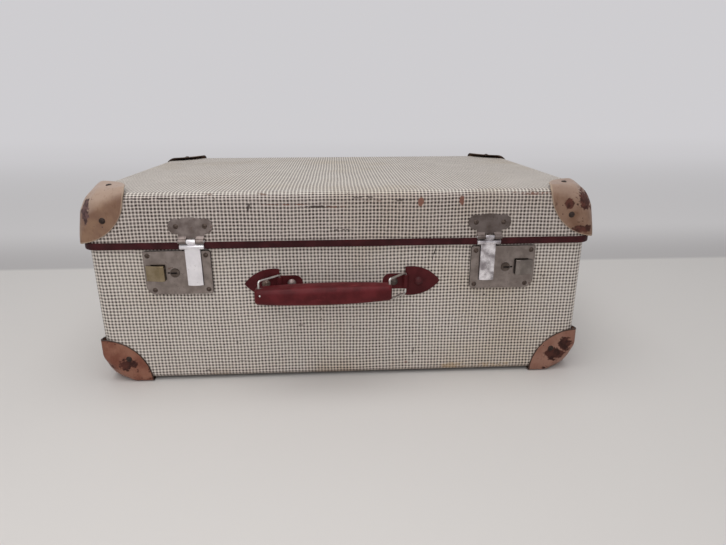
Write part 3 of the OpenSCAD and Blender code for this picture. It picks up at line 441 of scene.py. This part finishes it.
def leathercloth(name, low, high, rough, dull=0.0):
    """Maroon moulded leathercloth with a fine pebble, scuffed and flecked."""
    p = Paint(name)
    seed = 23.0 + len(bpy.data.materials)
    colour = p.mix(p.patches(0.34, 0.68, 14, 4.0, seed=seed), low, high)
    scuffs = p.patches(0.62, 0.76, 4, 5.0, 0.65, stretch=(0.25, 1, 1), seed=seed + 1)
    colour = p.mix(p.times(scuffs, 0.45), colour, tuple(min(1.0, c * 1.9 + 0.015) for c in high))
    colour = p.mix(p.times(p.dots(0.09, 0.04, 6, seed), 0.5), colour, darker(low, 0.3))
    p.set("Base Color", colour)
    p.set("Specular IOR Level", 0.14)
    p.set("Roughness", p.span(p.noise(6, 3.0, seed=seed + 2), rough - 0.08, rough + 0.12 + dull))
    pebble = p.less(1.0, p.cells(0.9, seed + 1))
    p.bump(p.add(p.times(pebble, 0.25), p.times(p.noise(3, 4.0, seed=seed + 3), 0.5)), 0.3, 0.0002)
    return p.mat


def rivet_heads(name, tones):
    """Rivet heads gone brown, each row with its own finish from the left to the right."""
    p = Paint(name, rough=0.5)
    seed = 51.0 + len(bpy.data.materials)
    mottle = p.patches(0.35, 0.68, 1.4, 4.0, seed=seed)
    colour, shine = None, None
    for start, low, high, metallic in tones:
        here = p.mix(mottle, low, high)
        if colour is None:
            colour, shine = here, metallic
        else:
            past = p.math("GREATER_THAN", p.x, start)
            colour, shine = p.mix(past, colour, here), p.pick(past, shine, metallic)
    p.set("Base Color", colour)
    p.set("Metallic", shine)
    p.set("Specular IOR Level", 0.3)
    p.set("Roughness", p.span(p.noise(1.1, 3.0, seed=seed + 1), 0.36, 0.66))
    p.bump(p.noise(0.7, 4.0, seed=seed + 2), 0.3, 0.0002)
    return p.mat


def paper_lining():
    """Cream paper with a faint woven stripe, foxed and handled."""
    p = Paint("lining_paper", rough=0.85)
    stripe = p.math("SINE", p.times(p.add(p.x, p.y), 2 * math.pi / 9.0))
    colour = p.mix(p.smooth(stripe, 0.1, 0.5), (0.64, 0.56, 0.43), (0.57, 0.49, 0.37))
    handled = p.times(p.patches(0.46, 0.78, 60, 4.0, seed=31), 0.32)
    colour = p.mix(handled, colour, (0.72, 0.58, 0.40), "MULTIPLY")
    fox = p.times(p.dots(0.11, 0.04, 14, 31.0), p.patches(0.50, 0.62, 70, 2.0, seed=32))
    colour = p.mix(p.times(fox, 0.6), colour, (0.26, 0.15, 0.075))
    p.set("Base Color", colour)
    p.bump(p.add(p.noise(1.1, 3.0, seed=33), p.times(p.noise(40, 3.0, seed=34), 1.4)), 0.25)
    return p.mat


def fibreboard():
    """Brown pressed board with long fibres."""
    p = Paint("fibreboard", rough=0.8)
    fibre = p.noise(1.4, 5.0, 0.7, stretch=(0.25, 0.25, 1.5), seed=41)
    colour = p.mix(p.smooth(fibre, 0.3, 0.7), (0.22, 0.145, 0.088), (0.36, 0.26, 0.165))
    damp = p.times(p.patches(0.48, 0.66, 30, 3.0, seed=42), 0.4)
    p.set("Base Color", p.mix(damp, colour, (0.55, 0.45, 0.36), "MULTIPLY"))
    p.bump(fibre, 0.4)
    return p.mat


# The seeds of most materials follow the order in which they are made
cover_lid = covering("covering_lid", "lid_shell", LID_MARKS, 150.0, (0.91, 0.88, 0.885), 0.22)
cover_base = covering("covering_base", "base_shell", BASE_MARKS, 24.0, (1.0, 0.985, 0.985), 0.0)
steel = metal("lock_steel", (0.215, 0.178, 0.160), (0.315, 0.268, 0.245), 0.40, 0.02, hollow_shade_depth=-155.5, ease=0.6)
plate_steel = metal("hasp_plate_steel", (0.165, 0.132, 0.120), (0.28, 0.236, 0.22), 0.42, 0.03, ease=0.7)
# The right hasp plate: the same steel, darker as painted shade
plate_steel_shaded = metal("hasp_plate_steel_dark", (0.125, 0.098, 0.088), (0.205, 0.170, 0.158), 0.42, 0.03, ease=0.7)
button_steel = metal("button_steel", (0.20, 0.172, 0.155), (0.29, 0.255, 0.232), 0.36, 0.0)
plug_steel = metal("plug_steel", (0.10, 0.078, 0.066), (0.20, 0.165, 0.145), 0.45, 0.05, hollow_shade_depth=-156.4)
hinge_steel = metal("hinge_steel", (0.24, 0.215, 0.19), (0.42, 0.385, 0.35), 0.45, 0.06)
hidden_steel = metal("inner_steel", (0.22, 0.20, 0.18), (0.38, 0.355, 0.33), 0.48, 0.05)
bright = metal("hasp_plating", (0.86, 0.83, 0.865), (0.97, 0.94, 0.97), 0.20, -0.08, plated=0.45)
bright_worn = metal("hasp_plating_worn", (0.30, 0.27, 0.285), (0.99, 0.955, 0.985), 0.20, -0.02, plated=0.75)
wire = metal("ring_wire", (0.55, 0.53, 0.50), (0.76, 0.74, 0.71), 0.28, 0.0)
brass = metal("button_brass", (0.24, 0.185, 0.110), (0.34, 0.275, 0.185), 0.42, -0.02, brush=0.6)
grip_red = leathercloth("grip_maroon", (0.082, 0.0095, 0.012), (0.135, 0.0175, 0.021), 0.38)
plate_red = leathercloth("plate_maroon", (0.056, 0.0075, 0.009), (0.092, 0.0135, 0.016), 0.46, 0.08)
binding_red = leathercloth("binding_maroon", (0.034, 0.0075, 0.009), (0.062, 0.0125, 0.015), 0.48, 0.1)
# Rivets: where each row starts across the case, its two tones, how metallic it is
rusty = rivet_heads("rivet_rust", [(0, (0.018, 0.009, 0.0065), (0.045, 0.025, 0.018), 0.1)])
lock_rivet = rivet_heads("lock_rivet_rust", [(0, (0.055, 0.037, 0.030), (0.12, 0.088, 0.072), 0.45)])
handle_rivet = rivet_heads("handle_rivet", [
    (0, (0.13, 0.085, 0.065), (0.22, 0.165, 0.14), 0.6),
    (-64, (0.24, 0.18, 0.165), (0.40, 0.33, 0.31), 0.9),
    (0, (0.07, 0.052, 0.046), (0.16, 0.125, 0.11), 0.6),
    (64, (0.055, 0.0075, 0.009), (0.085, 0.0125, 0.015), 0.05),
])
lining = paper_lining()
board = fibreboard()


# Finishes and eased edges of the CAD nodes

DRESS = {
    "base_shell": cover_base, "lid_shell": cover_lid, "base_lining": lining, "lid_lining": lining,
    "lid_frame": board, "lid_binding": binding_red,
    "base_cap_rivets": rusty, "lid_cap_rivets": rusty,
    "handle_plate": plate_red, "handle_rivets": handle_rivet, "handle_ring": wire, "handle_core": hidden_steel,
    "lock_plate": steel, "lock_back": hidden_steel, "lock_rivets": lock_rivet,
    "slide_button_left": brass, "slide_button_right": button_steel,
    "slide_bolt": hidden_steel, "bolt_spring": bright,
    "key_plug": plug_steel, "key_cam": hidden_steel,
    "hasp_plate_left": plate_steel, "hasp_plate_right": plate_steel_shaded, "hasp_pin": bright,
    "hasp_rivets": lock_rivet, "hasp_left": bright, "hasp_right": bright_worn,
    "hinge_base_leaf": hinge_steel, "hinge_lid_leaf": hinge_steel, "hinge_pin": hinge_steel,
    "hinge_base_rivets": rusty, "hinge_lid_rivets": rusty,
}
# Edges that are bent or pressed in the real sheet, with the width that they are eased by
EASED = {
    "slide_button": 0.6, "hasp_left": 0.5, "hasp_right": 0.5, "handle_plate": 0.45, "key_plug": 0.2,
    "hinge_base_leaf": 0.3, "hinge_lid_leaf": 0.3, "lid_binding": 0.3,
}
WELD = 0.00001


def lookup(table, name):
    """The table's value for a node, by its full name or its longest leading part."""
    keys = [k for k in table if name == k or name.startswith(k + "_")]
    return table[max(keys, key=len)] if keys else None


def bevel(obj, name, width, segments, angle):
    ease = obj.modifiers.new(name, "BEVEL")
    ease.width = width * MM
    ease.segments = segments
    ease.limit_method = "ANGLE"
    ease.angle_limit = math.radians(angle)
    return ease


def paint(obj, mat):
    if obj.material_slots:
        for s in obj.material_slots:
            s.material = mat
    else:
        obj.data.materials.append(mat)


for name, obj in nodes.items():
    finish, width = lookup(DRESS, name), lookup(EASED, name)
    if finish:
        paint(obj, finish)
    if width:
        weld = obj.modifiers.new("weld", "WELD")
        weld.merge_threshold = WELD
        bevel(obj, "ease", width, 3, 38).harden_normals = True


# Pieces made here

def new_piece(name, verts, faces, body, mat, smooth=True):
    mesh = bpy.data.meshes.new(name)
    mesh.from_pydata([tuple(c * MM for c in v) for v in verts], [], faces)
    mesh.validate()
    mesh.update()
    obj = bpy.data.objects.new(name, mesh)
    scene.collection.objects.link(obj)
    obj.data.materials.append(mat)
    for f in mesh.polygons:
        f.use_smooth = smooth
    bm = bmesh.new()
    bm.from_mesh(mesh)
    bmesh.ops.remove_doubles(bm, verts=bm.verts, dist=WELD)
    bmesh.ops.recalc_face_normals(bm, faces=bm.faces)
    bm.to_mesh(mesh)
    bm.free()
    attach(obj, body)
    return obj


def body_of_node(name):
    return nodes[name].parent.name.split(":", 1)[1]


def turned_head(tip, out, side, fore, profile, sides, closed):
    """A small round head: a fan round its tip, then bands from ring to ring of (radius, way along out)."""
    verts, faces = [tip], []
    for r, h in profile:
        for k in range(sides):
            a = 2 * math.pi * k / sides
            verts.append(tip + out * h + (side * math.cos(a) + fore * math.sin(a)) * r)
    last = len(profile) - 1
    for k in range(sides):
        faces.append((0, 1 + k, 1 + (k + 1) % sides))
        for i in range(last):
            a, b = 1 + i * sides + k, 1 + i * sides + (k + 1) % sides
            faces.append((a, b, b + sides, a + sides))
    if closed:
        faces.append(tuple(1 + last * sides + k for k in range(sides)))
    return verts, faces


# Corner caps: a ball at the vertex whose folds sharpen towards the rims

REACH, SHEET, STAND_OFF = 48.6, 1.4, 1.55
RINGS, TURNS = 30, 24
INNER = Vector((60, 60, 60))
CASE_MIDDLE = 98
# Radius of the ball, radii at the three rims, and where the change between them starts and ends
LID_FORM = (25.0, (9.0, 14.0, 7.5), 4.0, 54.0)
BASE_FORM = (19.0, (3.5, 3.5, 3.5), 11.0, 33.0)
# The upper lobe lifts from this far out, and the lift dies away down this far
LIFT_START, LIFT_DEPTH = 14, 20
RIVET_SEAT, RIVET_STEP = 26.5, 5.5
RIVET_TIP, RIVET_SIDES = 1.15, 24
RIVET_PROFILE = [(r, h - RIVET_TIP) for r, h in ((1.0, 1.06), (1.9, 0.80), (2.6, 0.40), (2.9, 0.0), (2.9, -0.9))]


def fold_radius(p, form):
    """Radius of the fold at a place: the ball's own near the vertex, less out along each of the three edges."""
    ball, rims, start, end = form
    near = [c ** 4 + 1e-6 for c in p]
    steps = [min(1.0, max(0.0, (c - start) / (end - start))) for c in p]
    each = [ball + (rim - ball) * t * t * (3 - 2 * t) for t, rim in zip(steps, rims)]
    return sum(n * r for n, r in zip(near, each)) / sum(near)


def rounded(q, form):
    """The place on the rounded surface in from a place on the sharp corner's faces."""
    low, high = 0.0, 0.9
    for _ in range(36):
        t = (low + high) / 2
        p = q.lerp(INNER, t)
        r = fold_radius(p, form)
        u = [max(r - c, 0.0) for c in p]
        if math.sqrt(sum(c * c for c in u)) > r + 1e-9:
            low = t
        else:
            high = t
    return q.lerp(INNER, high)


def raised(p, lift):
    """The same place where the upper lobe stands off the lid, most at its rim."""
    out = max(0.0, (math.hypot(p.x, p.y) - LIFT_START) / (REACH - LIFT_START))
    low = max(0.0, 1 - p.z / LIFT_DEPTH)
    return Vector((p.x, p.y, p.z - lift * out * low * low))


def corner_cap(name, lift, form):
    """The cap's outer sheet, the board's corner under it, and three places at the upper rivet."""
    lo, hi = box_mm(name)
    left, front, base = "left" in name, "front" in name, name.startswith("base")
    origin = Vector((lo.x if left else hi.x, lo.y if front else hi.y, lo.z if base else hi.z))
    way = Vector((1 if left else -1, 1 if front else -1, 1 if base else -1))
    verts, faces = [], []

    def place(q):
        p = raised(rounded(Vector(q), form), lift)
        return origin + Vector([c * w for c, w in zip(p, way)])

    step = TURNS + 1
    for axis in range(3):
        first = len(verts)
        for i in range(RINGS + 1):
            rho = REACH * (i / RINGS)
            for j in range(TURNS + 1):
                th = math.pi / 2 * j / TURNS
                q = [0.0, 0.0, 0.0]
                q[(axis + 1) % 3] = rho * math.cos(th)
                q[(axis + 2) % 3] = rho * math.sin(th)
                verts.append(place(q))
        for i in range(RINGS):
            for j in range(TURNS):
                a = first + i * step + j
                faces.append((a, a + 1, a + step + 1, a + step))
    near, far = RIVET_SEAT, RIVET_SEAT + RIVET_STEP
    seat = [place(q) for q in ((near, near, 0), (far, near, 0), (near, far, 0))]
    return verts, faces, origin + way * STAND_OFF, seat


CREAM, PINK, TAN = (0.295, 0.178, 0.115), (0.225, 0.126, 0.086), (0.205, 0.110, 0.070)
RUST_RED, RUST_DARK = (0.115, 0.040, 0.029), (0.10, 0.05, 0.042)
# Rim tones: pale on the front lid caps, near black on the others as painted shade with dirt
RIM_PALE, RIM_SHADE = (0.44, 0.33, 0.25), (0.02, 0.014, 0.012)
# Pale and warm paint, bare metal, how worn, patches on the front, rim tone (the near-black one is painted shade
# with dirt), lift of the upper lobe
CAP_LOOKS = {
    "lid_cap_front_left": (CREAM, PINK, (0.15, 0.085, 0.082), -0.10, [(-241, 182, 5, 10)], RIM_PALE, 4.8),
    "lid_cap_front_right": ((0.30, 0.185, 0.130), TAN, RUST_RED, -0.05,
                            [(240, 186, 9, 9), (222, 183, 4.5, 5.0), (238, 158, 10, 4.0)], RIM_PALE, 2.6),
    "lid_cap_rear_left": (TAN, PINK, RUST_DARK, 0.0, [], RIM_SHADE, 3.0),
    "lid_cap_rear_right": (TAN, CREAM, RUST_DARK, 0.0, [], RIM_SHADE, 3.2),
    "base_cap_front_left": ((0.31, 0.140, 0.092), (0.20, 0.068, 0.043), (0.095, 0.030, 0.022), 0.02,
                            [(-224, 20, 9, 6)], RIM_SHADE, 0.0),
    "base_cap_front_right": ((0.34, 0.178, 0.130), (0.27, 0.125, 0.088), (0.080, 0.026, 0.019), -0.01,
                             [(226, 20, 11, 7), (236, 31, 7, 8)], RIM_SHADE, 0.0),
    "base_cap_rear_left": (TAN, PINK, (0.10, 0.038, 0.03), 0.03, [], RIM_SHADE, 0.0),
    "base_cap_rear_right": (TAN, PINK, (0.09, 0.036, 0.03), 0.02, [], RIM_SHADE, 0.0),
}
for name, (pale, warm, worn, level, spots, rim, lift) in CAP_LOOKS.items():
    form = BASE_FORM if name.startswith("base") else LID_FORM
    verts, faces, corner, seat = corner_cap(name, lift, form)
    # More dust and painted sheen on the raised front left lid cap
    dust_and_sheen_amount = 0.75 if lift > 3.5 else 0.45
    mat = cap_paint("paint_" + name, pale, warm, worn, level, spots, rim, tuple(corner), dust_and_sheen_amount)
    cap = new_piece("shaped_" + name, verts, faces, body_of_node(name), mat)
    outward = Vector((corner.x, corner.y, corner.z - CASE_MIDDLE)).normalized()
    if sum(f.normal.dot(outward) for f in cap.data.polygons) < 0:
        cap.data.flip_normals()
    sheet = cap.modifiers.new("sheet", "SOLIDIFY")
    sheet.thickness = SHEET * MM
    sheet.offset = -1
    bevel(cap, "lip", 0.35, 2, 50)
    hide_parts(name)
    if lift:
        # Rivet head on the raised upper lobe
        up = (seat[1] - seat[0]).cross(seat[2] - seat[0]).normalized()
        up = up if up.z > 0 else -up
        side = up.orthogonal().normalized()
        tip = seat[0] + up * RIVET_TIP
        verts, faces = turned_head(tip, up, side, up.cross(side), RIVET_PROFILE, RIVET_SIDES, True)
        head = new_piece("raised_rivet_" + name, verts, faces, body_of_node(name), rusty)

# Grip: a moulded bar with flat top and front faces, fuller at its middle

STATIONS, AROUND = 72, 48
GRIP_END, GRIP_BELLY = 8.0, 2.3
ROUND_LENGTH, ROUND_DEPTH = 1.3, 1.1
SQUARED = 2 / 3.3
GRIP_WIDTH, GRIP_CROWN, GRIP_KEEL, CROWN_TILT = 0.93, 0.80, 1.12, 0.10
RIGHT_SHORT, GRIP_DROP, GRIP_RISE = 1.8, 1.9, 0.9
lo, hi = box_mm("handle_grip")
mid, half = (lo + hi) / 2, (hi - lo) / 2
verts, faces = [], []
for i in range(STATIONS + 1):
    t = -1 + 2 * i / STATIONS
    h = GRIP_END + GRIP_BELLY * (1 - t * t)
    end = max(0.0, (abs(t) * half.x - (half.x - ROUND_LENGTH)) / ROUND_LENGTH)
    h -= ROUND_DEPTH * (1 - math.sqrt(max(0.0, 1 - end * end)))
    x = mid.x + t * half.x - (RIGHT_SHORT * t if t > 0 else 0.0)
    for j in range(AROUND):
        a = 2 * math.pi * j / AROUND
        c, s = math.cos(a), math.sin(a)
        y = math.copysign(abs(c) ** SQUARED, c) * h * GRIP_WIDTH
        z = math.copysign(abs(s) ** SQUARED, s) * h * (GRIP_CROWN if s > 0 else GRIP_KEEL)
        z += CROWN_TILT * y if z > 0 else 0.0
        verts.append((x, mid.y + y, mid.z + z - GRIP_DROP + GRIP_RISE * t))
for i in range(STATIONS):
    for j in range(AROUND):
        a, b = i * AROUND + j, i * AROUND + (j + 1) % AROUND
        faces.append((a, b, b + AROUND, a + AROUND))
faces.append(tuple(range(AROUND)))
faces.append(tuple(STATIONS * AROUND + j for j in range(AROUND)))
grip = new_piece("moulded_grip", verts, faces, body_of_node("handle_grip"), grip_red)
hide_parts("handle_grip")

# Small pin through the grip's left end

PIN_PROFILE, PIN_SIDES = ((0.5, 0.05), (0.85, 0.22), (1.0, 0.6), (1.0, 1.6)), 16
tip = Vector((mid.x - half.x + 5.2, mid.y - 8.0, mid.z - 1.6))
verts, faces = turned_head(tip, Vector((0, 1, 0)), Vector((1, 0, 0)), UP, PIN_PROFILE, PIN_SIDES, False)
pin = new_piece("grip_pin", verts, faces, body_of_node("handle_grip"), wire)

# Upper outer corners of the lock plates, filled out to the full outline

CORNER, FOOT, PAN, ARC = 2.5, 9.0, 3.1, 8
for side in SIDES:
    plate = "lock_plate_" + side
    lo, hi = box_mm(plate)
    edge, way = (lo.x, 1) if side == "left" else (hi.x, -1)
    outline = [(FOOT, 0.0)]
    for k in range(ARC + 1):
        a = math.pi / 2 * (1 - k / ARC)
        outline.append((CORNER + CORNER * math.cos(a), CORNER * math.sin(a) - CORNER))
    outline.append((FOOT, -CORNER))
    verts, n = [], len(outline)
    for y in (lo.y, lo.y + PAN):
        verts += [(edge + way * u, y, hi.z + w) for u, w in outline]
    faces = [tuple(range(n)), tuple(range(n, 2 * n))]
    faces += [(k, (k + 1) % n, n + (k + 1) % n, n + k) for k in range(n)]
    corner = new_piece("lock_corner_" + side, verts, faces, body_of_node(plate), steel, smooth=False)

# Bolt springs: one leaf held by the lock and one riding with the bolt, which pass side by side

LEAF, PLAY, BENDS = 0.4, 0.06, 13
for side in SIDES:
    spring = "bolt_spring_" + side
    lo, hi = box_mm(spring)
    mid, outward = (lo + hi) / 2, -1 if side == "left" else 1
    bow = mid.x - lo.x
    for name, node, way, near, far in (
            ("spring_leaf_", spring, outward, lo.y + PLAY, mid.y - PLAY),
            ("spring_arm_", "slide_bolt_" + side, -outward, mid.y + PLAY, hi.y - PLAY)):
        verts, faces = [], []
        for y in (near, far):
            for r in (bow, bow - LEAF):
                for k in range(BENDS):
                    a = math.pi / 2 * k / (BENDS - 1)
                    verts.append((mid.x + way * r * math.sin(a), y, lo.z + r * math.cos(a)))
        for k in range(BENDS - 1):
            for a, b in ((0, 1), (1, 3), (3, 2), (2, 0)):
                faces.append((a * BENDS + k, a * BENDS + k + 1, b * BENDS + k + 1, b * BENDS + k))
        for k in (0, BENDS - 1):
            faces.append((k, BENDS + k, 3 * BENDS + k, 2 * BENDS + k))
        leaf = new_piece(name + side, verts, faces, body_of_node(node), bright, smooth=False)
        if node == spring:
            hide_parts(spring)

# Floor, which takes the wall's tone some way behind the case, where it is seen

FLOOR_HALF = 9
WALL_TONE, WALL_LOW, WALL_FOOT_SHADE = (0.62, 0.61, 0.63), (0.55, 0.54, 0.555), (0.31, 0.30, 0.31)
floor_mesh = bpy.data.meshes.new("floor")
floor_mesh.from_pydata([(x * FLOOR_HALF, y * FLOOR_HALF, 0) for x, y in ((-1, -1), (1, -1), (1, 1), (-1, 1))],
                       [], [(0, 1, 2, 3)])
floor = bpy.data.objects.new("floor", floor_mesh)
scene.collection.objects.link(floor)
p = Paint("floor_white", rough=0.55)
p.set("Base Color", p.mix(p.noise(400, 2.0), (0.70, 0.672, 0.652), (0.72, 0.692, 0.672)))
p.set("Specular IOR Level", 0.2)
p.bump(p.noise(2.0, 2.0), 0.02)
# Painted shade at the wall's foot, darkest at the floor line and fading into the wall's tone further back
shaded_wall_foot = p.mix(p.smooth(p.y, 250.0, 560.0), WALL_FOOT_SHADE, WALL_LOW)
wall = p.node("ShaderNodeEmission")
p.put(wall.inputs["Color"], p.mix(p.smooth(p.y, 500.0, 4000.0), shaded_wall_foot, WALL_TONE))
# Near the case it is only part wall, so that the open lid still casts its shadow there
part = p.span(p.smooth(p.y, 600.0, 2200.0), 0.6, 1.0)
part = p.times(p.seen(), p.times(p.smooth(p.y, 243.0, 262.0), part))
surface = p.blend(part, p.bsdf.outputs[0], wall.outputs[0])
p.put(p.tree.nodes["Material Output"].inputs["Surface"], surface)
floor_mesh.materials.append(p.mat)

# Light of the room, brighter from above, behind an even backdrop

world = bpy.data.worlds.new("room")
scene.world = world
world.use_nodes = True
room = Graph(world.node_tree)
height = room.parts(room.node("ShaderNodeTexCoord").outputs["Generated"])[2]
light = room.tree.nodes["Background"]
room.put(light.inputs["Color"], (0.97, 0.985, 1.0))
room.put(light.inputs["Strength"], room.span(height, 0.245, 0.51, 0.9))
backdrop = room.node("ShaderNodeBackground")
room.put(backdrop.inputs["Color"], WALL_TONE)
room.put(backdrop.inputs["Strength"], 1.0)
surface = room.blend(room.seen(), light.outputs[0], backdrop.outputs[0])
room.put(room.tree.nodes["World Output"].inputs["Surface"], surface)


def lamp(name, place, target, size, power, tone):
    data = bpy.data.lights.new(name, "AREA")
    data.shape = "DISK"
    data.size = size
    data.energy = power
    data.color = tone
    obj = bpy.data.objects.new(name, data)
    obj.location = place
    obj.rotation_euler = (Vector(target) - Vector(place)).to_track_quat("-Z", "Y").to_euler()
    obj.visible_camera = False
    scene.collection.objects.link(obj)


lamp("ceiling", (-0.12, -0.3, 1.5), (-0.02, -0.1, 0.1), 1.4, 9.6, (1.0, 0.985, 0.965))
lamp("front_fill", (-0.16, -0.86, 0.52), (-0.1, 0, 0.08), 0.5, 1.46, (1.0, 0.985, 0.98))

scene.view_settings.view_transform = "Standard"
